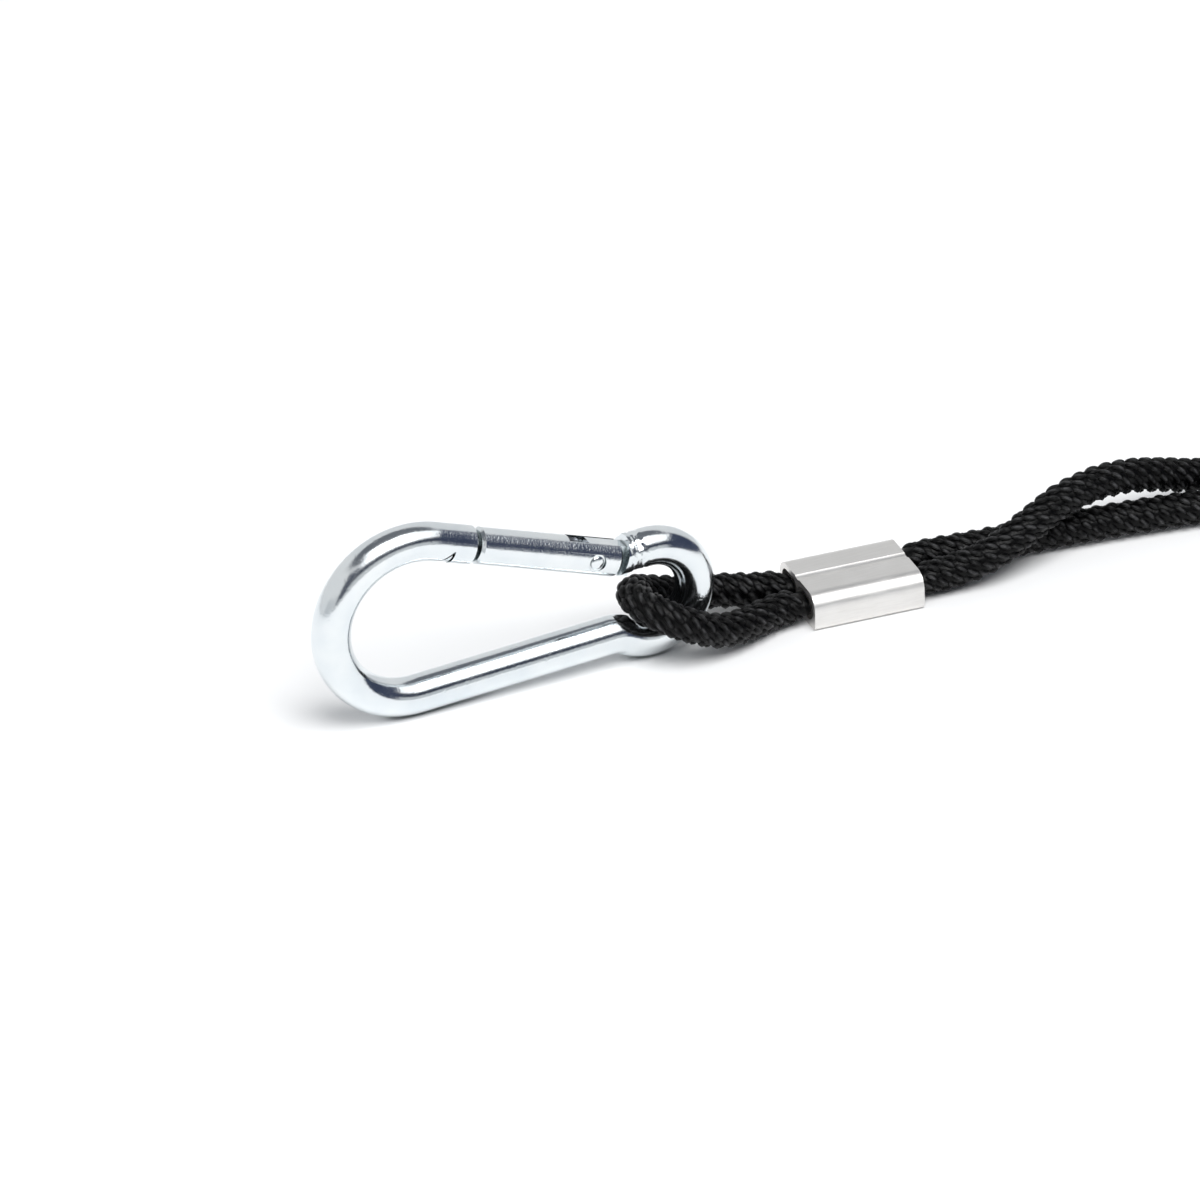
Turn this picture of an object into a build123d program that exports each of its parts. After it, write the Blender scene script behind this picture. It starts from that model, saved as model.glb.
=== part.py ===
"""Short rope sling: a doubled braided rope with a spring snap hook at one end and a soft eye at the other.

Millimetres, +Z up, +X from the hook towards the soft eye. The sling lies on the plane Z = 0. The origin is
the middle of the box around the hook and the two ferrules, on that plane.
"""
from build123d import *
from math import cos, radians, sin, tan
import os

# Snap hook: one bent bar in the plane Y = 0, resting on its bow and on its eye
WIRE_R = 5.5
HOOK_LEFT_X = -207.5  # the bar's centre at the hook's far left
BOW_R = 23.8  # the load bow, to the bar's centre
EYE_R = 14.2  # the eye that holds the rope, to the bar's centre
EYE_X = -111.9
GATE_SLOPE = 19.4  # degrees, the gate's line falls towards the hinge
SPINE_RISE = 3.2  # degrees, the spine rises towards the eye
EYE_ENTRY = 27.0  # degrees below level, where the spine's offset runs into the eye
OFFSET_R = 8.0
NECK_TURN = 4.0  # degrees that the eye's bar turns past its top
NECK_LENGTH = 12.0
NOSE_LENGTH = 11.5

# Gate, in its own frame: x from the nose to the hinge with 0 at the rivet, y as the row's, z outwards
GATE_R = 5.25
NOSE_TO_RIVET = 37.9
SEAM = 1.2
HINGE_OVERHANG = 7.9
SHOULDER_X = 9.2  # where the full bar starts beyond the gate's end
SLOT_WIDTH = 4.5
SLOT_START_X = -8.0  # the slot's open end on the outer side
SLOT_THROUGH_X = -5.2  # from here on the slot passes right through
TAB_THICKNESS = 4.2
TAB_END_X = -2.5
TAB_BOTTOM_Z = -4.2
TAB_TOP_Z = 4.6
RIVET_R = 1.9
RIVET_CLEARANCE = 0.05
RIVET_HEAD_R = 2.15
RIVET_HEAD = 0.8
BORE_R = 2.6
BORE_END_X = -24.0
PLUNGER_R = 2.5
PLUNGER_START_X = -2.65
PLUNGER_HEAD = 4.5
PLUNGER_STEM_R = 1.3
PLUNGER_STEM = 6.0
SPRING_R = 1.9
SPRING_WIRE_R = 0.3
SPRING_PITCH = 1.75

# The latch: a T-shaped tongue on the gate that swings into the slotted nose
TONGUE_WIDTH = 2.8
TONGUE_SLOT_WIDTH = 3.5
TONGUE_Z = (-4.4, -0.6)
LATCH_HEAD = ((-49.0, -6.0), (-45.4, -1.5), (-45.4, -6.0))
NOTCH = ((-49.5, -5.7), (-45.4, -0.3), (-44.9, -0.3), (-44.9, -7.0), (-49.5, -7.0))

# Ferrules: pressed aluminium sleeves, flat underneath, with a lobe over each leg of rope
FERRULE_LENGTH = 33.0
FERRULE_WIDTH = 26.4
FERRULE_HEIGHT = 10.6
FERRULE_TOP_R = 4.6
FERRULE_FOOT_R = 1.6
GROOVE_R = 3.0
GROOVE_DEPTH = 0.5
BORE_Y = 5.75
BORE_Z = 5.4
CRIMP_WIDTH = 11.7
CRIMP_HEIGHT = 7.0
CRIMP_CORNER_R = 3.4
CRIMP_GAP = 0.02
BUTT_GAP = 5.0  # between the rope's two ends, inside the far ferrule
HOOK_END_FERRULE = Location((-48.5, 1.2, 0), (0, 0, -4))
FAR_END_FERRULE = Location((195.5, -1.2, 0), (0, 0, -4))

# Rope: a braided sheath over a core of straight yarn
ROPE_R = 5.3
CORE_R = 3.5
SHEATH_BORE_R = 3.55
HOOK_LOOP = [
    (-64.56, 8.09, 5.4), (-72.54, 8.65, 5.4), (-84.0, 11.0, 7.6), (-95.5, 11.35, 10.6),
    (-108.4, 11.25, 17.1), (-115.0, 4.64, 19.7), (-115.0, -4.64, 19.7), (-108.4, -11.25, 17.1),
    (-95.5, -11.35, 10.6), (-84.0, -6.9, 7.6), (-73.34, -2.83, 5.4), (-65.36, -3.39, 5.4),
]
UPPER_LEG = [
    (-32.44, -5.69, 5.4), (-22.46, -6.39, 5.4), (-9.0, -5.4, 9.2), (5.0, -2.6, 14.6), (17.0, 0.2, 17.5),
    (33.0, 3.3, 17.5), (48.0, 5.3, 13.8), (64.0, 6.2, 8.4), (82.0, 5.9, 5.5), (106.0, 5.0, 5.4),
    (134.0, 5.1, 5.4), (152.0, 6.0, 5.4), (169.46, 6.39, 5.4), (179.44, 5.69, 5.4),
]
LOWER_LEG = [
    (178.64, -5.79, 5.4), (168.66, -5.09, 5.4), (154.0, -5.5, 5.4), (136.0, -6.0, 5.4), (115.0, -6.2, 5.4),
    (88.0, -6.4, 5.4), (63.0, -5.6, 5.4), (40.0, -1.5, 5.4), (17.0, 3.4, 5.4), (-4.0, 5.3, 5.4),
    (-21.66, 5.09, 5.4), (-31.64, 5.79, 5.4),
]
FAR_EYE = [
    (212.36, 3.39, 5.4), (222.34, 2.69, 5.4), (232.0, 4.8, 5.4), (243.0, 10.0, 5.4), (256.0, 19.0, 5.4),
    (274.0, 25.0, 5.4), (292.0, 19.0, 5.4), (304.0, 3.5, 5.4), (304.0, -16.5, 5.4), (292.0, -32.0, 5.4),
    (274.0, -38.0, 5.4), (256.0, -32.0, 5.4), (243.0, -20.5, 5.4), (232.0, -12.4, 5.4),
    (221.54, -8.79, 5.4), (211.56, -8.09, 5.4),
]


def heading(degrees):
    """The unit vector at this angle from +X towards +Z, in the hook's plane."""
    return Vector(cos(radians(degrees)), sin(radians(degrees)))


def meeting_point(point_a, angle_a, point_b, angle_b):
    """Where the line through point_a at angle_a crosses the line through point_b at angle_b."""
    along, other, apart = heading(angle_a), heading(angle_b), point_b - point_a
    reach = (apart.X * other.Y - apart.Y * other.X) / (along.X * other.Y - along.Y * other.X)
    return point_a + along * reach


BOW_CENTRE = Vector(HOOK_LEFT_X + BOW_R, BOW_R + WIRE_R)
EYE_CENTRE = Vector(EYE_X, EYE_R + WIRE_R)
BOW_TOP = BOW_CENTRE + heading(90 - GATE_SLOPE) * BOW_R
NOSE_END = BOW_TOP + heading(-GATE_SLOPE) * NOSE_LENGTH
RIVET = NOSE_END + heading(-GATE_SLOPE) * NOSE_TO_RIVET
GATE_PLANE = Plane(
    origin=(RIVET.X, 0, RIVET.Y),
    x_dir=(cos(radians(GATE_SLOPE)), 0, -sin(radians(GATE_SLOPE))),
    z_dir=(sin(radians(GATE_SLOPE)), 0, cos(radians(GATE_SLOPE))),
)


def bar_line():
    """The bent bar's centre line: nose, load bow, spine, offset, eye and neck."""
    nose = Line(NOSE_END, BOW_TOP)
    bow = JernArc(BOW_TOP, nose % 1, BOW_R, 180 + GATE_SLOPE + SPINE_RISE)
    eye_entry = EYE_CENTRE + heading(-90 - EYE_ENTRY) * EYE_R
    corner = meeting_point(bow @ 1, SPINE_RISE, eye_entry, -EYE_ENTRY)
    spine = FilletPolyline(bow @ 1, corner, eye_entry, radius=OFFSET_R)
    eye = JernArc(eye_entry, spine % 1, EYE_R, EYE_ENTRY + 180 + NECK_TURN)
    neck = Line(eye @ 1, (eye @ 1) + (eye % 1) * NECK_LENGTH)
    return Plane.XZ * Wire([*nose.edges(), *bow.edges(), *spine.edges(), *eye.edges(), *neck.edges()])


def rod(radius, start_x, end_x):
    """A round rod along the gate's own x axis."""
    return Pos(start_x, 0, 0) * Rot(0, 90, 0) * Cylinder(
        radius, end_x - start_x, align=(Align.CENTER, Align.CENTER, Align.MIN)
    )


def block(x_range, width, z_range):
    """A box between two x and two z values of the gate's frame, centred across it."""
    low = (x_range[0], -width / 2, z_range[0])
    return Pos(*low) * Box(x_range[1] - x_range[0], width, z_range[1] - z_range[0], align=Align.MIN)


def cross_pin(radius, length):
    """A round pin along Y through the rivet's axis."""
    return Rot(90, 0, 0) * Cylinder(radius, length)


def hook_frame():
    """The bent bar with its slotted nose and the tab that the gate turns on."""
    line = bar_line()
    bar = sweep(Plane(origin=line @ 0, z_dir=line % 0) * Circle(WIRE_R), path=line)
    bar = chamfer(bar.edges().group_by(lambda edge: (edge.center() - line @ 0).length)[0], SEAM / 2)
    reach = 4 * WIRE_R
    gate_room = block((-NOSE_TO_RIVET + 1, SHOULDER_X), 2 * WIRE_R + 1, (-WIRE_R - 2, WIRE_R + 2))
    notch = extrude(Plane.XZ * make_face(Polyline(*NOTCH, close=True)), amount=reach, both=True)
    tongue_slot = block((NOTCH[2][0] - 0.3, -NOSE_TO_RIVET + 1), TONGUE_SLOT_WIDTH, (-WIRE_R - 1, NOTCH[2][1]))
    tab = block((TAB_END_X, SHOULDER_X + 3), TAB_THICKNESS, (TAB_BOTTOM_Z, TAB_TOP_Z))
    tab = fillet(tab.edges().filter_by(Axis.Y).group_by(Axis.X)[0], 0.8)
    tab -= cross_pin(RIVET_R + RIVET_CLEARANCE, 2 * TAB_THICKNESS)
    return bar - GATE_PLANE * (gate_room + notch + tongue_slot) + GATE_PLANE * tab


def gate():
    """The gate bar with its hinge slot, spring bore and latch tongue."""
    bar = chamfer(rod(GATE_R, -NOSE_TO_RIVET + SEAM, HINGE_OVERHANG).edges(), SEAM / 2)
    head_room = 2 * GATE_R
    slot = block((SLOT_THROUGH_X, HINGE_OVERHANG + 1), SLOT_WIDTH, (-head_room, head_room))
    slot += block((SLOT_START_X, SLOT_THROUGH_X), SLOT_WIDTH, (0, head_room))
    rivet_seat = cross_pin(RIVET_HEAD_R, 4 * GATE_R) - cross_pin(RIVET_HEAD_R, 2 * (GATE_R - RIVET_HEAD))
    bar -= slot + rod(BORE_R, BORE_END_X, 0) + cross_pin(RIVET_R, 4 * GATE_R) + rivet_seat
    tongue = block((LATCH_HEAD[1][0] - 0.1, -NOSE_TO_RIVET + 2), TONGUE_WIDTH, TONGUE_Z)
    wedge = extrude(Plane.XZ * make_face(Polyline(*LATCH_HEAD, close=True)), amount=head_room, both=True)
    head = rod(GATE_R, LATCH_HEAD[0][0] - 1, LATCH_HEAD[1][0] + 1) & wedge
    return GATE_PLANE * (bar + tongue + head)


def gate_rivet():
    """The hinge pin, peened into a shallow seat in each ear of the gate."""
    shank = cross_pin(RIVET_R - 0.01, 2 * GATE_R - 0.3)
    heads = cross_pin(RIVET_HEAD_R - 0.02, 2 * GATE_R - 0.3)
    heads -= cross_pin(RIVET_HEAD_R, 2 * (GATE_R - RIVET_HEAD) + 0.02)
    return GATE_PLANE * (shank + heads)


def gate_plunger():
    """The spring's pin: a head that presses on the tab and a stem inside the coils."""
    head_end = PLUNGER_START_X - PLUNGER_HEAD
    head = rod(PLUNGER_R, head_end, PLUNGER_START_X)
    return GATE_PLANE * (head + rod(PLUNGER_STEM_R, head_end - PLUNGER_STEM, head_end))


def gate_spring():
    """The compression spring between the plunger's head and the end of the bore."""
    start_x = PLUNGER_START_X - PLUNGER_HEAD - SPRING_WIRE_R - 0.05
    length = start_x - BORE_END_X - SPRING_WIRE_R - 0.05
    coil = Helix(SPRING_PITCH, length, SPRING_R)
    wire = sweep(Plane(origin=coil @ 0, z_dir=coil % 0) * Circle(SPRING_WIRE_R), path=coil, is_frenet=True)
    return GATE_PLANE * (Pos(start_x, 0, 0) * Rot(0, -90, 0) * wire)


def crimped_section(side):
    """One leg's flattened section inside a ferrule, on the +Y side for 1 and the -Y side for -1."""
    section = Pos(side * BORE_Y, 0) * RectangleRounded(CRIMP_WIDTH, CRIMP_HEIGHT, CRIMP_CORNER_R)
    half = Pos(side * CRIMP_WIDTH, 0) * Rectangle(2 * CRIMP_WIDTH, 2 * CRIMP_HEIGHT)
    return Pos(0, BORE_Z) * (section & half)


def ferrule():
    """The pressed sleeve, lying along X and centred on it."""
    outline = Pos(0, FERRULE_HEIGHT / 2) * Rectangle(FERRULE_WIDTH, FERRULE_HEIGHT)
    corners = outline.vertices().group_by(Axis.Y)
    outline = fillet(corners[-1], FERRULE_TOP_R)
    outline = fillet(outline.vertices().group_by(Axis.Y)[0], FERRULE_FOOT_R)
    outline -= Pos(0, FERRULE_HEIGHT + GROOVE_R - GROOVE_DEPTH) * Circle(GROOVE_R)
    profile = outline - crimped_section(1) - crimped_section(-1)
    return extrude(Plane.YZ * profile, amount=FERRULE_LENGTH / 2, both=True)


def crimped_rope(side, start_x, end_x):
    """The flattened rope inside one bore of a ferrule, between two x values."""
    section = offset(crimped_section(side), -CRIMP_GAP)
    return Pos(start_x, 0, 0) * extrude(Plane.YZ * section, amount=end_x - start_x)


def cord_path(points):
    """Straight runs joined by tangent arcs, each as large as its two runs allow."""
    corners = [Vector(*point) for point in points]
    runs = [end - start for start, end in zip(corners, corners[1:])]
    radii = [
        0.45 * min(before.length, after.length) / tan(radians(before.get_angle(after) / 2))
        for before, after in zip(runs, runs[1:])
    ]
    print("  radii:", [round(radius, 1) for radius in radii])
    return FilletPolyline(*points, radius=radii)


def tube(points, outer_r, inner_r):
    """A tube, or a rod where inner_r is 0, along a route, with its volume checked against its length."""
    path = cord_path(points)
    ring = Circle(outer_r)
    if inner_r:
        ring -= Circle(inner_r)
    solid = sweep(Plane(origin=path @ 0, z_dir=path % 0) * ring, path=path)
    fullness = solid.volume / (ring.area * path.length)
    print(f"  length {path.length:.1f}, volume over section times length {fullness:.4f}")
    return solid


def save(name, *solids):
    """Write one node, a single solid or a group of separate solids."""
    shape = solids[0] if len(solids) == 1 else Compound(children=list(solids))
    print(name)
    export_step(shape, f"parts/{name}.step")


def main():
    """Write every node of the sling."""
    os.makedirs("parts", exist_ok=True)
    save("hook_frame", hook_frame())
    save("gate", gate())
    save("gate_rivet", gate_rivet())
    save("gate_plunger", gate_plunger())
    save("gate_spring", gate_spring())
    half = FERRULE_LENGTH / 2
    for name, place in (("hook_end_ferrule", HOOK_END_FERRULE), ("far_end_ferrule", FAR_END_FERRULE)):
        save(name, place * ferrule())
    save("crimped_rope_hook_end", *(HOOK_END_FERRULE * crimped_rope(side, -half, half) for side in (1, -1)))
    spans = ((1, -half, half), (-1, -half, -BUTT_GAP / 2), (-1, BUTT_GAP / 2, half))
    save("crimped_rope_far_end", *(FAR_END_FERRULE * crimped_rope(*span) for span in spans))
    routes = {"hook_loop": HOOK_LOOP, "upper_leg": UPPER_LEG, "lower_leg": LOWER_LEG, "far_eye": FAR_EYE}
    for name, points in routes.items():
        save(f"sheath_{name}", tube(points, ROPE_R, SHEATH_BORE_R))
        save(f"core_{name}", tube(points, CORE_R, 0))


main()
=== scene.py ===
"""Looks of the short rope sling: braided rope, zinc-plated snap hook and pressed aluminium ferrules.

The frame is the CAD model's: +X from the hook towards the soft eye, +Z up, the sling on the plane Z = 0.
"""
from math import cos, pi, radians, sin, tan

import bmesh
import bpy
import numpy as np
from mathutils import Matrix, Vector


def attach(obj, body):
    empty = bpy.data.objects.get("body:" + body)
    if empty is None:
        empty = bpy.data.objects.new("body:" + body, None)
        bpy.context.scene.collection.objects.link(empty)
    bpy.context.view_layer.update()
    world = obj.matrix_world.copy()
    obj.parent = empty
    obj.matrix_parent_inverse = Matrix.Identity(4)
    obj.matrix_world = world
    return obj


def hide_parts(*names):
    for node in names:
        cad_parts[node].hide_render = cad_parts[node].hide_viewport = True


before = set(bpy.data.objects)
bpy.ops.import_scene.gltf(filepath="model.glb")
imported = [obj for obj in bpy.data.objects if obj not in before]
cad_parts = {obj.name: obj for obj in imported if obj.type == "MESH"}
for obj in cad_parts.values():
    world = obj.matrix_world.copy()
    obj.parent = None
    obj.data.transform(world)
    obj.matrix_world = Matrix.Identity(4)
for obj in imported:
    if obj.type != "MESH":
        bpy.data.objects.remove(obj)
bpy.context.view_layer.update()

MM = 0.001

# Camera: at the photograph's viewing angle, from far away
CAMERA_AZIMUTH = -24.21
CAMERA_ELEVATION = 29.44
CAMERA_ROLL = -1.53
CAMERA_AIM = (-126.53, 0.0, 20.58)
CAMERA_DISTANCE = 3000.0
CAMERA_LENS = 325.4

# Rope and its braid: a round filling under rows of leaf-shaped stitches
ROPE_R = 5.3
FILLING_R = 4.1
STITCH_ROWS = 12
STITCH_PITCH = 4.7
STITCH_STAGGER = -1 / 3
STITCH_LEAN = 50.0
STITCH_HALF_LENGTH = 2.65
STITCH_HALF_WIDTH = 1.28
STITCH_HALF_THICKNESS = 1.2
STITCH_MID_R = 3.62
STITCH_CROWN = 0.3
STITCH_FALL = 0.16  # how fast a stitch's surface falls away from its ridge, per millimetre squared
STITCH_UV_STEP = 7.0
CRIMP_WIDTH = 11.7
CRIMP_HEIGHT = 7.0
FERRULE_PLACES = ((-48.5, 1.2), (195.5, -1.2))
FERRULE_TURN = -4.0
FERRULE_LENGTH = 33.0
CRIMP_GAP = 0.1
CRIMP_FADE = 8.0

# Snap hook: the CAD model's sizes, apart from the chamfers, the slot's start, the rivet and the press marks
WIRE_R = 5.5
HOOK_LEFT_X = -207.5
BOW_R = 23.8
EYE_R = 14.2
EYE_X = -111.9
GATE_SLOPE = 19.4
SPINE_RISE = 3.2
EYE_ENTRY = 27.0
OFFSET_R = 8.0
NECK_TURN = 4.0
NECK_LENGTH = 12.0
NOSE_LENGTH = 11.5
GATE_R = 5.25
NOSE_TO_RIVET = 37.9
SEAM = 1.2
CHAMFER = 0.8
NECK_HAMMERED = 4.6
NECK_BLOWS = 170
SHOULDER_TO_NECK = 6.0
EYE_RUN = NECK_LENGTH + EYE_R * radians(EYE_ENTRY + 180 + NECK_TURN)
# Marks of the press round the eye's start: place, angle round the bar, depth and reach
PRESS_MARKS = ((-3.0, 0.0, 1.1, 6.0), (1.5, 215.0, 0.45, 0.9), (1.8, 160.0, 0.3, 0.8), (3.5, 0.0, 0.7, 1.6))
HINGE_OVERHANG = 7.9
SHOULDER_X = 9.2
SLOT_WIDTH = 4.5
SLOT_START_X = -9.0
SLOT_THROUGH_X = -5.2
TAB_THICKNESS = 4.2
TAB_END_X = -2.5
TAB_BOTTOM_Z = -4.2
TAB_TOP_Z = 4.6
RIVET_R = 1.9
RIVET_SEAT_R = 2.6
RIVET_SEAT = 0.6
# The rivet's end from its middle outwards: radius, and distance from the gate's middle
RIVET_PROFILE = ((0.0, 5.45), (0.8, 5.39), (1.5, 5.15), (1.95, 4.83), (2.1, 4.45))
BORE_R = 2.6
BORE_END_X = -24.0
TONGUE_WIDTH = 2.8
TONGUE_SLOT_WIDTH = 3.5
TONGUE_Z = (-4.4, -0.6)
LATCH_HEAD = ((-49.0, -6.0), (-45.4, -1.5), (-45.4, -6.0))
NOTCH = ((-49.5, -5.7), (-45.4, -0.3), (-44.9, -0.3), (-44.9, -7.0), (-49.5, -7.0))

# Linear colours: painted shade for zinc deep in a gap, and the light tent
GAP_SHADE_ZINC = (0.05, 0.085, 0.09)
SOFTBOX = (1.35, 1.36, 1.37)
BACK_LIGHT = (0.80, 0.81, 0.82)
BACK_UPPER = (0.16, 0.17, 0.19)
FRONT_LOW = (0.62, 0.64, 0.66)
DARK_GAP = (0.045, 0.055, 0.08)
DARK_SIDE = (0.05, 0.062, 0.105)
DARK_LEFT = (0.08, 0.09, 0.12)

HOOK_LOOP = [
    (-64.56, 8.09, 5.4), (-72.54, 8.65, 5.4), (-83.0, 11.4, 6.8), (-96.0, 12.4, 8.6), (-108.0, 11.4, 12.6),
    (-115.1, 4.9, 17.7), (-115.1, -4.9, 17.7), (-107.8, -11.5, 14.0), (-95.5, -11.4, 7.7),
    (-84.0, -7.2, 5.7), (-73.34, -2.83, 5.4), (-65.36, -3.39, 5.4),
]
UPPER_LEG = [
    (-32.44, -5.69, 5.4), (-22.46, -6.39, 5.4), (-9.0, -8.0, 8.6), (5.0, -5.2, 14.0), (17.0, -1.2, 17.3),
    (33.0, 2.6, 17.5), (48.0, 5.0, 13.8), (64.0, 6.2, 8.4), (82.0, 5.9, 5.5), (106.0, 5.0, 5.4),
    (134.0, 5.1, 5.4), (152.0, 6.0, 5.4), (169.46, 6.39, 5.4), (179.44, 5.69, 5.4),
]
LOWER_LEG = [
    (178.64, -5.79, 5.4), (168.66, -5.09, 5.4), (154.0, -5.5, 5.4), (136.0, -6.0, 5.4), (115.0, -6.2, 5.4),
    (88.0, -6.4, 5.4), (63.0, -5.6, 5.4), (40.0, -1.5, 5.4), (17.0, 1.4, 5.4), (-4.0, 2.7, 5.4),
    (-21.66, 5.09, 5.4), (-31.64, 5.79, 5.4),
]
FAR_EYE = [
    (212.36, 3.39, 5.4), (222.34, 2.69, 5.4), (232.0, 4.8, 5.4), (243.0, 10.0, 5.4), (256.0, 19.0, 5.4),
    (274.0, 25.0, 5.4), (292.0, 19.0, 5.4), (304.0, 3.5, 5.4), (304.0, -16.5, 5.4), (292.0, -32.0, 5.4),
    (274.0, -38.0, 5.4), (256.0, -32.0, 5.4), (243.0, -20.5, 5.4), (232.0, -12.4, 5.4),
    (221.54, -8.79, 5.4), (211.56, -8.09, 5.4),
]


def new_object(name, mesh):
    """An object for this mesh, in the scene."""
    obj = bpy.data.objects.new(name, mesh)
    bpy.context.scene.collection.objects.link(obj)
    return obj


def mesh_of(name, points, faces):
    """A smooth-shaded mesh from an array of points, in millimetres, and a list of faces."""
    mesh = bpy.data.meshes.new(name)
    mesh.from_pydata((np.asarray(points) * MM).tolist(), [], np.asarray(faces).tolist())
    mesh.shade_smooth()
    return mesh


# ---- camera ----


def add_camera():
    """The camera, turned about its own axis by the photograph's small roll."""
    azimuth, elevation = radians(CAMERA_AZIMUTH), radians(CAMERA_ELEVATION)
    back = Vector((sin(azimuth) * cos(elevation), -cos(azimuth) * cos(elevation), sin(elevation)))
    data = bpy.data.cameras.new("camera")
    data.lens = CAMERA_LENS
    data.sensor_width = 36.0
    data.clip_end = 100.0
    camera = bpy.data.objects.new("camera", data)
    bpy.context.scene.collection.objects.link(camera)
    turn = back.to_track_quat("Z", "Y").to_matrix().to_4x4() @ Matrix.Rotation(radians(CAMERA_ROLL), 4, "Z")
    camera.matrix_world = Matrix.Translation((Vector(CAMERA_AIM) + back * CAMERA_DISTANCE) * MM) @ turn
    bpy.context.scene.camera = camera


# ---- rope ----


def spline_points(points):
    """Points along the NURBS spline whose control points these are, in millimetres, evenly spaced."""
    curve = bpy.data.curves.new("route", "CURVE")
    curve.dimensions = "3D"
    curve.resolution_u = 40
    spline = curve.splines.new("NURBS")
    spline.points.add(len(points) - 1)
    for control, point in zip(spline.points, points):
        control.co = (*(Vector(point) * MM), 1.0)
    spline.order_u = 3
    spline.use_endpoint_u = True
    obj = bpy.data.objects.new("route", curve)
    mesh = bpy.data.meshes.new_from_object(obj)
    line = np.array([vertex.co for vertex in mesh.vertices]) / MM
    bpy.data.objects.remove(obj)
    bpy.data.meshes.remove(mesh)
    bpy.data.curves.remove(curve)
    runs = np.linalg.norm(np.diff(line, axis=0), axis=1)
    along = np.concatenate([[0.0], np.cumsum(runs)])
    even = np.linspace(0.0, along[-1], int(along[-1] / 0.5) + 1)
    return even, np.stack([np.interp(even, along, line[:, axis]) for axis in range(3)], axis=1)


def frames_along(line):
    """Two directions across the line at each of its points, carried along it without twist."""
    tangents = np.gradient(line, axis=0)
    tangents /= np.linalg.norm(tangents, axis=1)[:, None]
    across = np.cross(tangents[0], (0.0, 0.0, 1.0))
    first = []
    for tangent in tangents:
        across = across - tangent * np.dot(across, tangent)
        across = across / np.linalg.norm(across)
        first.append(across)
    first = np.array(first)
    return tangents, first, np.cross(tangents, first)


def crimp_amount(places):
    """How far the rope at each place is pressed to the ferrule's bore: 1 inside, and 0 away from it."""
    amount = np.zeros(len(places))
    turn = radians(FERRULE_TURN)
    for x, y in FERRULE_PLACES:
        local_x = (places[:, 0] - x) * cos(turn) + (places[:, 1] - y) * sin(turn)
        outside = np.abs(local_x) - FERRULE_LENGTH / 2 + 1.0
        near = np.linalg.norm(places[:, :2] - np.array([x, y]), axis=1) < 60.0
        fade = np.clip(1.0 - outside / CRIMP_FADE, 0.0, 1.0)
        amount = np.maximum(amount, np.where(near, fade * fade * (3.0 - 2.0 * fade), 0.0))
    return amount


class Route:
    """The rope's centre line with directions across it, and points round it."""

    def __init__(self, points):
        self.along, self.line = spline_points(points)
        self.tangents, self.first, self.second = frames_along(self.line)
        self.length = self.along[-1]

    def read(self, values, s):
        """The values that belong to these distances along the line."""
        return np.stack([np.interp(s, self.along, values[:, axis]) for axis in range(3)], axis=-1)

    def points(self, s, angle, radius):
        """Points at these distances, angles and radii, pressed flat where a ferrule holds the rope."""
        centre, tangent = self.read(self.line, s), self.read(self.tangents, s)
        offset = np.cos(angle)[..., None] * self.read(self.first, s)
        offset = offset + np.sin(angle)[..., None] * self.read(self.second, s)
        offset = offset * radius[..., None]
        amount = crimp_amount(centre.reshape(-1, 3)).reshape(s.shape)
        sideways = np.cross(tangent, (0.0, 0.0, 1.0))
        sideways /= np.maximum(np.linalg.norm(sideways, axis=-1), 1e-6)[..., None]
        wide = (0.5 * CRIMP_WIDTH - CRIMP_GAP) / ROPE_R - 1.0
        flat = (0.5 * CRIMP_HEIGHT - CRIMP_GAP) / ROPE_R - 1.0
        part = np.sum(offset * sideways, axis=-1) * amount * wide
        height = offset[..., 2] * amount * flat
        offset = offset + part[..., None] * sideways
        offset[..., 2] += height
        return centre + offset


def tube_faces(rings, section):
    """Quads between rings of points, each ring closed."""
    start = np.arange(rings - 1)[:, None] * section
    corner = np.arange(section)[None, :]
    after = (corner + 1) % section
    corners = [start + corner, start + after, start + section + after, start + section + corner]
    return np.stack(corners, axis=2).reshape(-1, 4)


def filling(route):
    """The plain round of yarn under the stitches."""
    section = 32
    s = np.repeat(np.linspace(0.0, route.length, int(route.length) + 1)[:, None], section, axis=1)
    angle = np.broadcast_to(2 * pi * np.arange(section) / section, s.shape)
    points = route.points(s, angle, np.full(s.shape, FILLING_R))
    uv = np.stack([np.full(s.shape, 1.5), s * MM], axis=-1)
    return points.reshape(-1, 3), tube_faces(len(s), section), uv.reshape(-1, 2)


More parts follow.
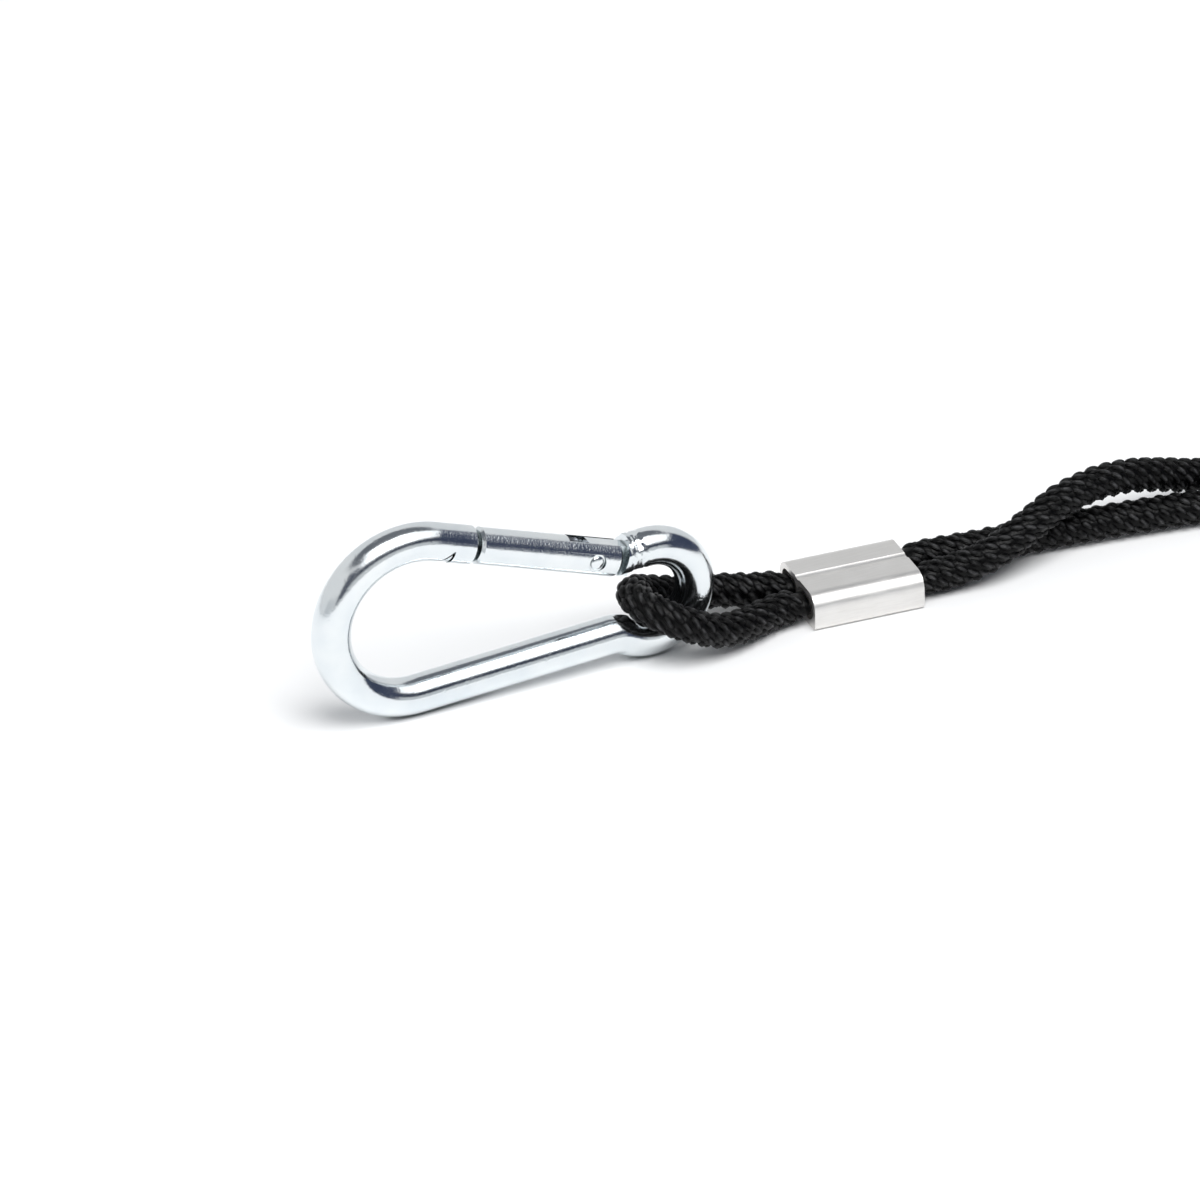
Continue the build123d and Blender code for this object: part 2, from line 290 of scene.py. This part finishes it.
def stitches(route, first_index):
    """The leaf-shaped stitches of the braid, in rows along the rope, each row shifted from the last."""
    rings, section = 9, 8
    per_row = int(route.length / STITCH_PITCH)
    pitch = route.length / (per_row + 1)
    row, place = np.meshgrid(np.arange(STITCH_ROWS), np.arange(per_row), indexing="ij")
    middle_s = (pitch * (place + 0.5 + (STITCH_STAGGER * row) % 1.0)).ravel()[:, None, None]
    middle_angle = (2 * pi * row / STITCH_ROWS).ravel()[:, None, None]
    wobble = np.random.default_rng(7).normal(0.0, 1.0, (4, len(middle_s), 1, 1))
    lean = radians(STITCH_LEAN) + 0.05 * wobble[0]
    half_length = STITCH_HALF_LENGTH * (1.0 + 0.04 * wobble[1])
    u = np.linspace(-1.0, 1.0, rings)[None, :, None]
    turn = (2 * pi * np.arange(section) / section)[None, None, :]
    taper = np.sqrt(np.maximum(1.0 - np.abs(u) ** 2.4, 0.0004))
    across = STITCH_HALF_WIDTH * (1.0 + 0.05 * wobble[2]) * taper * np.cos(turn)
    rise = STITCH_HALF_THICKNESS * taper * np.sin(turn)
    along = half_length * u * np.ones_like(across)
    s = middle_s + along * np.cos(lean) - across * np.sin(lean)
    angle = middle_angle + (along * np.sin(lean) + across * np.cos(lean)) / ROPE_R
    crown = STITCH_MID_R + STITCH_CROWN * (1.0 - u * u) + 0.03 * wobble[3]
    radius = crown + rise - STITCH_FALL * across * across
    points = route.points(np.clip(s, 0.0, route.length), angle, np.minimum(radius, ROPE_R))
    one = tube_faces(rings, section)
    starts = first_index + np.arange(len(middle_s)) * rings * section
    faces = (one[None, :, :] + starts[:, None, None]).reshape(-1, 4)
    number = np.arange(len(middle_s))[:, None, None]
    across_uv = 0.5 + 0.5 * np.cos(turn) + 2.0 * number + 0.0 * s
    uv = np.stack([across_uv, (along + STITCH_UV_STEP * number) * MM], axis=-1)
    return points.reshape(-1, 3), faces, uv.reshape(-1, 2)


def braid(name, points):
    """One stretch of the rope as a mesh, with its route."""
    route = Route(points)
    fill_points, fill_faces, fill_uv = filling(route)
    stitch_points, stitch_faces, stitch_uv = stitches(route, len(fill_points))
    points, faces = np.concatenate([fill_points, stitch_points]), np.concatenate([fill_faces, stitch_faces])
    mesh = mesh_of(name, points, faces)
    uv = np.concatenate([fill_uv, stitch_uv])
    corners = np.empty(len(mesh.loops), dtype=np.int32)
    mesh.loops.foreach_get("vertex_index", corners)
    mesh.uv_layers.new(name="strand").data.foreach_set("uv", uv[corners].ravel())
    return new_object(name, mesh), route


def add_rope(name, points, nodes, body="sling"):
    """One stretch of rope that stands for its CAD solids, which it hides."""
    obj, route = braid(name, points)
    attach(obj, body)
    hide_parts(*nodes)
    return obj


# ---- hook ----


def heading(degrees):
    """The direction at this angle from +X towards +Z, in the hook's plane."""
    return np.array([cos(radians(degrees)), sin(radians(degrees))])


BOW_CENTRE = np.array([HOOK_LEFT_X + BOW_R, BOW_R + WIRE_R])
EYE_CENTRE = np.array([EYE_X, EYE_R + WIRE_R])
BOW_TOP = BOW_CENTRE + heading(90 - GATE_SLOPE) * BOW_R
NOSE_END = BOW_TOP + heading(-GATE_SLOPE) * NOSE_LENGTH
RIVET = NOSE_END + heading(-GATE_SLOPE) * NOSE_TO_RIVET
GATE_FRAME = Matrix.Translation((RIVET[0], 0.0, RIVET[1])) @ Matrix.Rotation(radians(GATE_SLOPE), 4, "Y")


def arc(start, from_heading, radius, turn, step=0.3):
    """Points on an arc that turns left by this many degrees, without its first point."""
    count = max(2, int(radians(abs(turn)) * radius / step))
    centre = start + heading(from_heading + 90) * radius
    angles = [from_heading - 90 + turn * (k + 1) / count for k in range(count)]
    return [centre + heading(angle) * radius for angle in angles]


def straight(start, end, step=0.6):
    """Points on a line, without its first point."""
    count = max(2, int(np.linalg.norm(end - start) / step))
    return [start + (end - start) * (k + 1) / count for k in range(count)]


def meeting_point(point_a, angle_a, point_b, angle_b):
    """Where the line through point_a at angle_a crosses the line through point_b at angle_b."""
    along, other, apart = heading(angle_a), heading(angle_b), point_b - point_a
    reach = (apart[0] * other[1] - apart[1] * other[0]) / (along[0] * other[1] - along[1] * other[0])
    return point_a + along * reach


def bar_line():
    """The bent bar's centre line in the hook's plane, from the nose to the neck's end."""
    line = [NOSE_END, *straight(NOSE_END, BOW_TOP)]
    line += arc(BOW_TOP, 180 - GATE_SLOPE, BOW_R, 180 + GATE_SLOPE + SPINE_RISE)
    eye_entry = EYE_CENTRE + heading(-90 - EYE_ENTRY) * EYE_R
    corner = meeting_point(line[-1], SPINE_RISE, eye_entry, -EYE_ENTRY)
    bend = SPINE_RISE + EYE_ENTRY
    setback = OFFSET_R * tan(radians(bend / 2))
    bend_start = corner - heading(SPINE_RISE) * setback
    line += straight(line[-1], bend_start)
    centre = bend_start + heading(SPINE_RISE - 90) * OFFSET_R
    count = 14
    line += [centre + heading(SPINE_RISE + 90 - bend * (k + 1) / count) * OFFSET_R for k in range(count)]
    line += straight(line[-1], eye_entry, 0.3)
    line += arc(eye_entry, -EYE_ENTRY, EYE_R, EYE_ENTRY + 180 + NECK_TURN)
    line += straight(line[-1], line[-1] + heading(180 + NECK_TURN) * NECK_LENGTH, 0.3)
    return np.array(line)


def dent(rings, line, tangents, middle, out, depth, reach):
    """Press the bar in by this depth on its side that faces out, and less and less up to the reach."""
    along = (line - line[middle]) @ tangents[middle]
    near = np.linalg.norm(line - line[middle], axis=1) < 2 * reach
    limit = WIRE_R - depth * (1.0 - (along / reach) ** 2)
    touched = near & (limit < WIRE_R)
    over = (rings[touched] - line[touched][:, None, :]) @ out - limit[touched][:, None]
    rings[touched] -= np.maximum(over, 0.0)[..., None] * out


def hammer(rings, line, tangents):
    """The press's marks: small dents all over the neck, and a hollow and creases at the eye's start."""
    run = np.concatenate([[0.0], np.cumsum(np.linalg.norm(np.diff(line, axis=0), axis=1))])
    from_end = run[-1] - run
    blows = np.random.default_rng(21)
    side = np.array([0.0, 1.0, 0.0])
    for _ in range(NECK_BLOWS):
        place = NECK_LENGTH - SHOULDER_TO_NECK + blows.uniform(0.0, NECK_HAMMERED)
        turn = blows.uniform(0.0, 2 * pi)
        depth = blows.uniform(0.1, 0.42)
        reach = blows.uniform(0.4, 1.0)
        middle = int(np.argmin(np.abs(from_end - place)))
        out = cos(turn) * np.cross(tangents[middle], side) + sin(turn) * side
        dent(rings, line, tangents, middle, out, depth, reach)
    for back, turn, depth, reach in PRESS_MARKS:
        middle = int(np.argmin(np.abs(from_end - EYE_RUN - back)))
        out = cos(radians(turn)) * np.cross(tangents[middle], side) + sin(radians(turn)) * side
        dent(rings, line, tangents, middle, out, depth, reach)


def bar_mesh(name):
    """The bent bar as one closed tube, with small chamfers at its nose and a hammered neck."""
    flat = bar_line()
    line = np.stack([flat[:, 0], np.zeros(len(flat)), flat[:, 1]], axis=1)
    tangents = np.gradient(line, axis=0)
    tangents /= np.linalg.norm(tangents, axis=1)[:, None]
    inward = np.cross(tangents, (0.0, 1.0, 0.0))
    section = 96
    turns = np.linspace(0, 2 * pi, section, endpoint=False)
    radius = np.full(len(line), WIRE_R)
    radius[0] -= CHAMFER
    line[1] = line[0] + tangents[0] * CHAMFER
    sideways = np.array([0.0, 1.0, 0.0])
    spokes = np.cos(turns)[None, :, None] * inward[:, None, :] + np.sin(turns)[None, :, None] * sideways
    rings = line[:, None, :] + radius[:, None, None] * spokes
    hammer(rings, line, tangents)
    points = np.concatenate([rings.reshape(-1, 3), line[:1], line[-1:]])
    first_centre, last_centre = len(line) * section, len(line) * section + 1
    last = (len(line) - 1) * section
    faces = [tuple(face) for face in tube_faces(len(line), section).tolist()]
    faces += [(first_centre, (k + 1) % section, k) for k in range(section)]
    faces += [(last_centre, last + k, last + (k + 1) % section) for k in range(section)]
    mesh = bpy.data.meshes.new(name)
    mesh.from_pydata((points * MM).tolist(), [], faces)
    mesh.validate()
    return mesh


def ring_of(made, sides, place):
    """One ring of vertices, each where the function puts its angle, in millimetres."""
    return [made.verts.new(Vector(place(2 * pi * k / sides)) * MM) for k in range(sides)]


def placed(made, name, place):
    """An object from this closed bmesh, moved to the world from the place's frame, in millimetres."""
    bmesh.ops.recalc_face_normals(made, faces=made.faces)
    to_world = Matrix.Translation(place.to_translation() * MM) @ place.to_3x3().to_4x4()
    bmesh.ops.transform(made, matrix=to_world, verts=made.verts)
    mesh = bpy.data.meshes.new(name)
    made.to_mesh(mesh)
    made.free()
    return new_object(name, mesh)


def prism(name, outline, low, high, place=GATE_FRAME):
    """A straight prism along Y between two y values, from an outline of x and z in the gate's frame."""
    made = bmesh.new()
    near = [made.verts.new((x * MM, low * MM, z * MM)) for x, z in outline]
    far = [made.verts.new((x * MM, high * MM, z * MM)) for x, z in outline]
    made.faces.new(near)
    made.faces.new(far[::-1])
    for k in range(len(outline)):
        after = (k + 1) % len(outline)
        made.faces.new((near[k], near[after], far[after], far[k]))
    return placed(made, name, place)


def rod(name, radius, start_x, end_x, chamfer=0.0, sides=96, place=GATE_FRAME):
    """A round rod along the gate's x axis, chamfered at both ends where chamfer isn't 0."""
    stations = [(start_x, radius - chamfer), (end_x, radius - chamfer)]
    if chamfer:
        stations[1:1] = [(start_x + chamfer, radius), (end_x - chamfer, radius)]
    made = bmesh.new()
    rings = [ring_of(made, sides, lambda t, x=x, r=r: (x, r * cos(t), r * sin(t))) for x, r in stations]
    for before, after in zip(rings, rings[1:]):
        for k in range(sides):
            made.faces.new((before[k], before[(k + 1) % sides], after[(k + 1) % sides], after[k]))
    made.faces.new(rings[0])
    made.faces.new(rings[-1])
    return placed(made, name, place)


def combine(target, tool, operation):
    """Cut the tool from the target, or join it on, and remove the tool."""
    modifier = target.modifiers.new(operation, "BOOLEAN")
    modifier.operation = operation
    modifier.object = tool
    modifier.solver = "EXACT"
    depsgraph = bpy.context.evaluated_depsgraph_get()
    mesh = bpy.data.meshes.new_from_object(target.evaluated_get(depsgraph))
    target.modifiers.clear()
    target.data = mesh
    bpy.data.objects.remove(tool)


def shade_by_angle(obj, degrees=32):
    """Smooth shading, with a sharp edge wherever two faces turn by more than this."""
    made = bmesh.new()
    made.from_mesh(obj.data)
    limit = radians(degrees)
    for edge in made.edges:
        edge.smooth = len(edge.link_faces) == 2 and edge.calc_face_angle(0.0) < limit
    for face in made.faces:
        face.smooth = True
    made.to_mesh(obj.data)
    made.free()


def box_outline(x_range, z_range):
    """The four corners of a rectangle in x and z."""
    (left, right), (bottom, top) = x_range, z_range
    return [(left, bottom), (right, bottom), (right, top), (left, top)]


def add_hook_frame():
    """The bent bar, cut for the gate and its latch, with the tab that the gate turns on."""
    hook = new_object("hook_bar", bar_mesh("hook_bar"))
    room = box_outline((-NOSE_TO_RIVET + 1, SHOULDER_X), (-WIRE_R - 2, WIRE_R + 2))
    combine(hook, prism("room", room, -WIRE_R - 0.5, WIRE_R + 0.5), "DIFFERENCE")
    combine(hook, prism("notch", NOTCH, -4 * WIRE_R, 4 * WIRE_R), "DIFFERENCE")
    slot = box_outline((NOTCH[2][0] - 0.3, -NOSE_TO_RIVET + 1), (-WIRE_R - 1, NOTCH[2][1]))
    combine(hook, prism("slot", slot, -TONGUE_SLOT_WIDTH / 2, TONGUE_SLOT_WIDTH / 2), "DIFFERENCE")
    tab = box_outline((TAB_END_X, SHOULDER_X + 3), (TAB_BOTTOM_Z, TAB_TOP_Z))
    combine(hook, prism("tab", tab, -TAB_THICKNESS / 2, TAB_THICKNESS / 2), "UNION")
    shade_by_angle(hook)
    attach(hook, "hook")
    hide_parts("hook_frame")
    return hook


def add_rivet():
    """The hinge pin with its two peened heads, a little domed."""
    made = bmesh.new()
    sides = 48
    rings = []
    for r, y in [*RIVET_PROFILE, *((r, -y) for r, y in reversed(RIVET_PROFILE))]:
        rings.append(ring_of(made, sides if r else 1, lambda t, y=y, r=r: (r * cos(t), y, r * sin(t))))
    for before, after in zip(rings, rings[1:]):
        for k in range(sides):
            corners = [before[k % len(before)], before[(k + 1) % len(before)]]
            corners += [after[(k + 1) % len(after)], after[k % len(after)]]
            made.faces.new(list(dict.fromkeys(corners)))
    rivet = placed(made, "hinge_rivet", GATE_FRAME)
    rivet.data.shade_smooth()
    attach(rivet, "gate")
    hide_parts("gate_rivet")
    return rivet


def add_gate():
    """The gate bar with its hinge slot, rivet seat and latch tongue."""
    bar = rod("gate_bar", GATE_R, -NOSE_TO_RIVET + SEAM, HINGE_OVERHANG, CHAMFER)
    through = box_outline((SLOT_THROUGH_X, HINGE_OVERHANG + 1), (-2 * GATE_R, 2 * GATE_R))
    combine(bar, prism("through", through, -SLOT_WIDTH / 2, SLOT_WIDTH / 2), "DIFFERENCE")
    upper = box_outline((SLOT_START_X, SLOT_THROUGH_X + 0.01), (0, 2 * GATE_R))
    combine(bar, prism("upper", upper, -SLOT_WIDTH / 2, SLOT_WIDTH / 2), "DIFFERENCE")
    combine(bar, rod("bore", BORE_R, BORE_END_X, 0), "DIFFERENCE")
    pin = GATE_FRAME @ Matrix.Rotation(pi / 2, 4, "Z")
    for low, high in ((-GATE_R - 1, -GATE_R + RIVET_SEAT), (GATE_R - RIVET_SEAT, GATE_R + 1)):
        combine(bar, rod("seat", RIVET_SEAT_R, low, high, sides=48, place=pin), "DIFFERENCE")
    combine(bar, rod("pin_hole", RIVET_R, -GATE_R - 1, GATE_R + 1, sides=48, place=pin), "DIFFERENCE")
    head = rod("head", GATE_R, LATCH_HEAD[0][0] - 1, LATCH_HEAD[1][0] + 1)
    combine(head, prism("wedge", LATCH_HEAD, -2 * GATE_R, 2 * GATE_R), "INTERSECT")
    tongue = box_outline((LATCH_HEAD[1][0] - 0.1, -NOSE_TO_RIVET + 2), TONGUE_Z)
    combine(bar, prism("tongue", tongue, -TONGUE_WIDTH / 2, TONGUE_WIDTH / 2), "UNION")
    combine(bar, head, "UNION")
    shade_by_angle(bar)
    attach(bar, "gate")
    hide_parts("gate")
    return bar


# ---- materials ----


class Tree:
    """A node tree, with short ways to add to it."""

    def __init__(self, owner):
        owner.use_nodes = True
        self.nodes = owner.node_tree.nodes
        self.links = owner.node_tree.links

    def add(self, kind, inputs=(), **settings):
        """A node with these settings. Each input is a number, a colour or another node's output."""
        node = self.nodes.new(kind)
        for key, value in settings.items():
            setattr(node, key, value)
        for key, value in dict(inputs).items():
            self.put(node.inputs[key], value)
        return node

    def put(self, socket, value):
        """Link an output to the socket, or set it to a plain value."""
        if isinstance(value, bpy.types.NodeSocket):
            self.links.new(value, socket)
        else:
            socket.default_value = value

    def maths(self, operation, first, second=0.0):
        """One calculation on two values."""
        return self.add("ShaderNodeMath", {0: first, 1: second}, operation=operation).outputs["Value"]

    def product(self, *values):
        """All these values multiplied."""
        result = values[0]
        for value in values[1:]:
            result = self.maths("MULTIPLY", result, value)
        return result

    def mix(self, under, over, amount):
        """The colour under, covered by the colour over by this amount."""
        inputs = {0: amount, 6: self.colour(under), 7: self.colour(over)}
        return self.add("ShaderNodeMix", data_type="RGBA", inputs=inputs).outputs[2]

    def colour(self, value):
        """The value as a socket takes it: a colour gets its alpha, and an output stays as it is."""
        return (*value, 1.0) if isinstance(value, tuple) else value


class Shader(Tree):
    """A new material's node tree."""

    def __init__(self, name):
        self.material = bpy.data.materials.new(name)
        super().__init__(self.material)
        self.surface = self.nodes["Principled BSDF"]

    def set(self, **values):
        """Set or link the surface's sockets, with _ for each space."""
        for key, value in values.items():
            self.put(self.surface.inputs[key.replace("_", " ")], value)

    def coordinates(self, scale, turn=(0.0, 0.0, 0.0)):
        """The piece's own coordinates in metres, turned and then scaled along each axis."""
        where = self.add("ShaderNodeTexCoord").outputs["Object"]
        mapping = self.add("ShaderNodeMapping", {"Vector": where, "Rotation": turn, "Scale": scale})
        return mapping.outputs["Vector"]

    def noise(self, vector, scale, detail=4.0, roughness=0.55):
        """Noise from 0 to 1."""
        inputs = {"Vector": vector, "Scale": scale, "Detail": detail, "Roughness": roughness}
        return self.add("ShaderNodeTexNoise", inputs).outputs["Fac"]

    def ramp(self, value, *stops):
        """A colour ramp through (position, colour) stops."""
        node = self.add("ShaderNodeValToRGB", {"Fac": value})
        elements = node.color_ramp.elements
        while len(elements) < len(stops):
            elements.new(0.5)
        for element, (position, colour) in zip(elements, stops):
            element.position = position
            element.color = (*colour, 1.0)
        return node.outputs["Color"]

    def between(self, value, low, high, from_low=0.0, from_high=1.0):
        """The value mapped to the range from low to high."""
        inputs = {"Value": value, "From Min": from_low, "From Max": from_high}
        return self.add("ShaderNodeMapRange", {**inputs, "To Min": low, "To Max": high}).outputs["Result"]

    def openness(self, reach, least):
        """From 1 on an open surface to the least value where others come near it, within this reach."""
        near = self.add("ShaderNodeAmbientOcclusion", {"Distance": reach}, samples=8)
        return self.between(near.outputs["AO"], least, 1.0, 0.3, 0.85)

    def bump(self, height, distance, strength=1.0, normal=None):
        """A bump of this height in metres."""
        inputs = {"Height": height, "Distance": distance, "Strength": strength}
        node = self.add("ShaderNodeBump", inputs)
        if normal is not None:
            self.links.new(normal, node.inputs["Normal"])
        return node.outputs["Normal"]


def zinc_material(name, grain_depth):
    """Bright zinc plate: a faint blue cast, fine grain, pits and duller patches, and painted shade in gaps.
    """
    made = Shader(name)
    place = made.coordinates((1.0, 1.0, 1.0))
    patches = made.noise(place, 90.0, 3.0)
    fine = made.noise(place, 2600.0, 2.0)
    grain = made.noise(place, 900.0, 3.0)
    colour = made.ramp(patches, (0.3, (0.70, 0.745, 0.775)), (0.7, (0.80, 0.83, 0.84)))
    blend = made.maths("ADD", made.maths("MULTIPLY", patches, 0.5), made.maths("MULTIPLY", fine, 0.5))
    roughness = made.between(blend, 0.07, 0.2, 0.35, 0.65)
    peel = made.bump(grain, 0.00003, 0.5)
    speckle = made.bump(made.noise(place, 1700.0, 2.0), grain_depth, 0.6, peel)
    pits = made.ramp(made.noise(place, 700.0, 1.0, 0.4), (0.68, (1.0, 1.0, 1.0)), (0.74, (0.0, 0.0, 0.0)))
    # Painted shade: the base colour darkens towards the gap colour wherever other surfaces come near, from
    # an ambient occlusion node.
    made.set(
        Base_Color=made.mix(GAP_SHADE_ZINC, colour, made.openness(0.0016, 0.12)),
        Metallic=1.0, Roughness=roughness, Normal=made.bump(pits, 0.00004, 0.35, speckle),
    )
    return made.material


def spring_material():
    """Drawn spring wire in dark steel; on the plunger the darkness is also painted shade for the inside of
    the gate's slot.
    """
    made = Shader("spring wire")
    place = made.coordinates((1.0, 1.0, 1.0))
    dull = made.noise(place, 900.0, 3.0)
    colour = made.ramp(dull, (0.3, (0.16, 0.16, 0.17)), (0.7, (0.28, 0.28, 0.30)))
    made.set(Base_Color=colour, Metallic=1.0, Roughness=made.between(dull, 0.22, 0.4))
    return made.material


def aluminium_material():
    """Pressed aluminium: satin, with fine drawn lines along its length and a few scuffs."""
    made = Shader("pressed aluminium")
    lines_place = made.coordinates((0.06, 1.0, 1.0), (0.0, 0.0, radians(-FERRULE_TURN)))
    place = made.coordinates((1.0, 1.0, 1.0))
    lines = made.noise(lines_place, 1700.0, 4.0, 0.6)
    broad = made.noise(lines_place, 260.0, 2.0)
    cloud = made.noise(place, 140.0, 3.0)
    mixed = made.maths("ADD", made.maths("MULTIPLY", lines, 0.6), made.maths("MULTIPLY", cloud, 0.4))
    colour = made.ramp(mixed, (0.3, (0.70, 0.685, 0.665)), (0.7, (0.81, 0.798, 0.78)))
    made.set(
        Base_Color=colour, Metallic=1.0, Roughness=made.between(mixed, 0.34, 0.5, 0.3, 0.7),
        Normal=made.bump(broad, 0.0001, 0.2, made.bump(lines, 0.00003, 0.4)),
    )
    return made.material


def braid_material():
    """Black multifilament: fine filaments along each stitch, with a painted highlight along each stitch's
    crown.
    """
    made = Shader("black multifilament braid")
    uv = made.add("ShaderNodeUVMap", uv_map="strand").outputs["UV"]
    parts = made.add("ShaderNodeSeparateXYZ", {"Vector": uv})
    across, along = parts.outputs["X"], parts.outputs["Y"]
    place = made.coordinates((1.0, 1.0, 1.0))
    waver = made.noise(place, 700.0, 2.0)
    twisted = made.maths("ADD", made.maths("MULTIPLY", across, 7.0), made.maths("MULTIPLY", along, 420.0))
    yarn = made.maths("SINE", made.maths("MULTIPLY", made.maths("ADD", twisted, waver), 2 * pi))
    stretched = {"X": made.maths("MULTIPLY", twisted, 5.0), "Y": made.maths("MULTIPLY", along, 500.0)}
    filament_place = made.add("ShaderNodeCombineXYZ", stretched)
    filaments = made.noise(filament_place.outputs["Vector"], 1.0, 3.0, 0.7)
    height = made.maths("ADD", made.maths("MULTIPLY", yarn, 0.5), filaments)
    off_crown = made.maths("ABSOLUTE", made.maths("SUBTRACT", made.maths("MODULO", across, 2.0), 0.5))
    crown = made.between(off_crown, 1.0, 0.0, 0.04, 0.26)
    off_middle = made.maths("PINGPONG", made.maths("DIVIDE", along, STITCH_UV_STEP * MM), 0.5)
    middle = made.between(off_middle, 1.0, 0.0, 0.12, 0.36)
    patchy = made.between(made.noise(place, 260.0, 3.0), 0.1, 1.0, 0.42, 0.62)
    fibres = made.between(filaments, 0.15, 1.0, 0.42, 0.62)
    # Painted highlight: paler colour along the middle of each stitch's crown, broken up by noise and
    # filaments.
    painted_crown_highlight = made.product(crown, middle, patchy, fibres)
    colour = made.ramp(painted_crown_highlight, (0.0, (0.0007, 0.0007, 0.0008)), (0.7, (0.08, 0.08, 0.083)))
    made.set(
        Base_Color=colour, Roughness=made.between(filaments, 0.26, 0.42, 0.3, 0.7), Specular_IOR_Level=0.14,
        Normal=made.bump(height, 0.00012, 0.7),
    )
    return made.material


def floor_material():
    """Plain white card with the faintest mottle."""
    made = Shader("white floor")
    mottle = made.noise(made.coordinates((1.0, 1.0, 1.0)), 3.0, 2.0)
    colour = made.ramp(mottle, (0.3, (0.90, 0.905, 0.905)), (0.7, (0.915, 0.915, 0.915)))
    made.set(Base_Color=colour, Roughness=0.85, Specular_IOR_Level=0.1)
    return made.material


def paint(obj, material):
    """Give the object this one material."""
    obj.data.materials.clear()
    obj.data.materials.append(material)


# ---- floor and light ----


def add_floor(material):
    """A large plain floor at the height the sling lies on."""
    made = bmesh.new()
    bmesh.ops.create_grid(made, x_segments=8, y_segments=8, size=12.0)
    mesh = bpy.data.meshes.new("floor")
    made.to_mesh(mesh)
    made.free()
    floor = new_object("floor", mesh)
    paint(floor, material)


def add_world():
    """A white tent: bright overhead, with dark gaps in front and at both sides, and grey behind."""
    world = bpy.data.worlds.new("tent")
    bpy.context.scene.world = world
    tent = Tree(world)
    where = tent.add("ShaderNodeTexCoord").outputs["Generated"]
    x, y, z = tent.add("ShaderNodeSeparateXYZ", {0: where}).outputs

    def step(value, start, end):
        """From 0 at the start to 1 at the end, smoothly."""
        inputs = {"Value": value, "From Min": start, "From Max": end}
        return tent.add("ShaderNodeMapRange", inputs, interpolation_type="SMOOTHSTEP").outputs["Result"]

    front = step(y, 0.05, -0.1)
    not_far_left = step(x, -0.5, -0.38)
    slanted_x = tent.maths("SUBTRACT", x, tent.maths("MULTIPLY", z, 0.27))
    front_gap = tent.product(front, step(z, 0.2, 0.32), step(z, 0.6, 0.48), not_far_left)
    right = tent.product(step(slanted_x, 0.47, 0.53), step(y, 0.3, 0.05), step(z, 0.74, 0.64))
    left = tent.product(step(x, -0.34, -0.48), step(x, -0.74, -0.66), step(y, 0.45, 0.2))
    left = tent.product(left, step(z, 0.02, 0.08), step(z, 0.72, 0.55))
    colour = tent.mix(BACK_LIGHT, BACK_UPPER, step(z, 0.68, 0.8))
    colour = tent.mix(colour, SOFTBOX, tent.product(front, step(z, 0.52, 0.62), not_far_left))
    colour = tent.mix(colour, FRONT_LOW, tent.product(front, step(z, 0.3, 0.2)))
    colour = tent.mix(colour, DARK_GAP, front_gap)
    colour = tent.mix(colour, DARK_SIDE, right)
    colour = tent.mix(colour, DARK_LEFT, left)
    tent.put(tent.nodes["Background"].inputs["Color"], colour)


def add_area_light(name, place, aim, size, power):
    """A square soft light that faces its aim."""
    data = bpy.data.lights.new(name, "AREA")
    data.shape = "SQUARE"
    data.size = size
    data.energy = power
    light = bpy.data.objects.new(name, data)
    bpy.context.scene.collection.objects.link(light)
    turn = (Vector(place) - Vector(aim)).to_track_quat("Z", "Y").to_matrix().to_4x4()
    light.matrix_world = Matrix.Translation(Vector(place)) @ turn


def main():
    """Build the scene round the CAD frame."""
    add_camera()
    zinc = zinc_material("bright zinc plate", 0.00003)
    grainy_zinc = zinc_material("grainy zinc plate", 0.00007)
    spring, aluminium, braid_black = spring_material(), aluminium_material(), braid_material()
    loop_nodes = ["sheath_hook_loop", "core_hook_loop", "crimped_rope_hook_end"]
    eye_nodes = ["sheath_far_eye", "core_far_eye", "crimped_rope_far_end"]
    loop = add_rope("rope_hook_loop", HOOK_LOOP, loop_nodes)
    upper = add_rope("rope_upper_leg", UPPER_LEG, ["sheath_upper_leg", "core_upper_leg"])
    lower = add_rope("rope_lower_leg", LOWER_LEG, ["sheath_lower_leg", "core_lower_leg"])
    eye = add_rope("rope_far_eye", FAR_EYE, eye_nodes)
    for rope in (loop, upper, lower, eye):
        paint(rope, braid_black)
    paint(add_hook_frame(), zinc)
    paint(add_gate(), grainy_zinc)
    paint(add_rivet(), zinc)
    # The plunger's dark steel doubles as painted shade for the inside of the gate's slot.
    paint(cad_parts["gate_plunger"], spring)
    paint(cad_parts["gate_spring"], spring)
    for node in ("hook_end_ferrule", "far_end_ferrule"):
        paint(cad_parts[node], aluminium)
    add_floor(floor_material())
    add_world()
    add_area_light("overhead", (-0.1, -1.0, 2.0), (-0.1, 0.0, 0.0), 1.5, 38.0)
    bpy.context.scene.view_settings.view_transform = "Standard"


main()
